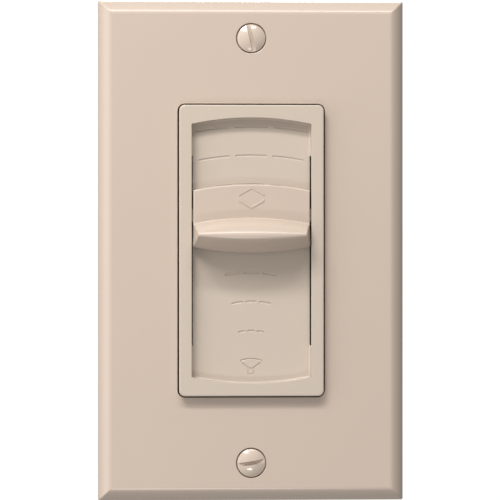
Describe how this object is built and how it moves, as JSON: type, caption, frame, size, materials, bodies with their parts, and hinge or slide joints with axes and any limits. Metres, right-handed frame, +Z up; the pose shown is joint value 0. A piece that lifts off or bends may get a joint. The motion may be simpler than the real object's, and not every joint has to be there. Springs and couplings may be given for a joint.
{
  "type": "slide volume control",
  "caption": "Decorator-style in-wall slide volume control: almond wall plate, raised bezel with an engraved scale, finger slider, and transformers and pluggable terminals behind the wall.",
  "frame": {"origin": "midway between the two wall box screw holes, on the wall plane, which is the back face of the yoke and of the wall plate's rim", "axes": "+X to the right as seen from the room, +Y into the wall, +Z up, the way the slider is pushed for louder"},
  "size_m": [0.0698, 0.0546, 0.1142],
  "materials": {
    "almond_plastic": "satin moulded thermoset",
    "ivory_plastic": "satin moulded ABS",
    "almond_paint": "gloss paint on steel",
    "zinc_steel": "zinc plated",
    "rod_steel": "ground and polished",
    "spring_steel": "rolled",
    "black_plastic": "moulded acetal",
    "grey_plastic": "moulded glass-filled nylon",
    "circuit_board": "green solder mask",
    "contact_plate": "gold-flashed copper",
    "phosphor_bronze": "rolled",
    "tinned_pin": "tin plated",
    "core_steel": "stacked silicon steel laminations",
    "bobbin_plastic": "moulded nylon",
    "enamel_wire": "enamelled copper wire",
    "winding_tape": "polyester tape",
    "terminal_plastic": "moulded polyamide"
  },
  "bodies": {
    "housing": {"wall_plate": "almond_plastic", "plate_screws": "almond_paint", "bezel": "ivory_plastic", "scale_plate": "ivory_plastic", "guide_rods": "rod_steel", "slide_housing": "grey_plastic", "yoke": "zinc_steel", "contact_board": "circuit_board", "board_screws": "zinc_steel", "left_contacts": "contact_plate", "right_contacts": "contact_plate", "left_core": "core_steel", "left_bobbin": "bobbin_plastic", "left_winding": "enamel_wire", "left_tape": "winding_tape", "right_core": "core_steel", "right_bobbin": "bobbin_plastic", "right_winding": "enamel_wire", "right_tape": "winding_tape", "transformer_pins": "tinned_pin", "transformer_bracket": "zinc_steel", "input_header": "terminal_plastic", "input_pins": "tinned_pin", "output_header": "terminal_plastic", "output_pins": "tinned_pin", "jumper_header": "black_plastic", "jumper_pins": "contact_plate", "jumper_caps": "black_plastic"},
    "slider": {"slider": "almond_plastic", "carriage": "black_plastic", "left_wiper": "phosphor_bronze", "right_wiper": "phosphor_bronze", "detent_spring": "spring_steel"},
    "input_plug": {"input_plug": "terminal_plastic", "input_clamps": "phosphor_bronze", "input_clamp_screws": "zinc_steel"},
    "output_plug": {"output_plug": "terminal_plastic", "output_clamps": "phosphor_bronze", "output_clamp_screws": "zinc_steel"}
  },
  "joints": [
    {"name": "slider_slide", "type": "slide", "parent": "housing", "child": "slider", "axis": [0, 0, 1], "range_m": [-0.028, 0.012]},
    {"name": "input_plug_pull", "type": "slide", "parent": "housing", "child": "input_plug", "axis": [0, 1, 0], "range_m": [0, 0.01]},
    {"name": "output_plug_pull", "type": "slide", "parent": "housing", "child": "output_plug", "axis": [0, 1, 0], "range_m": [0, 0.01]}
  ]
}
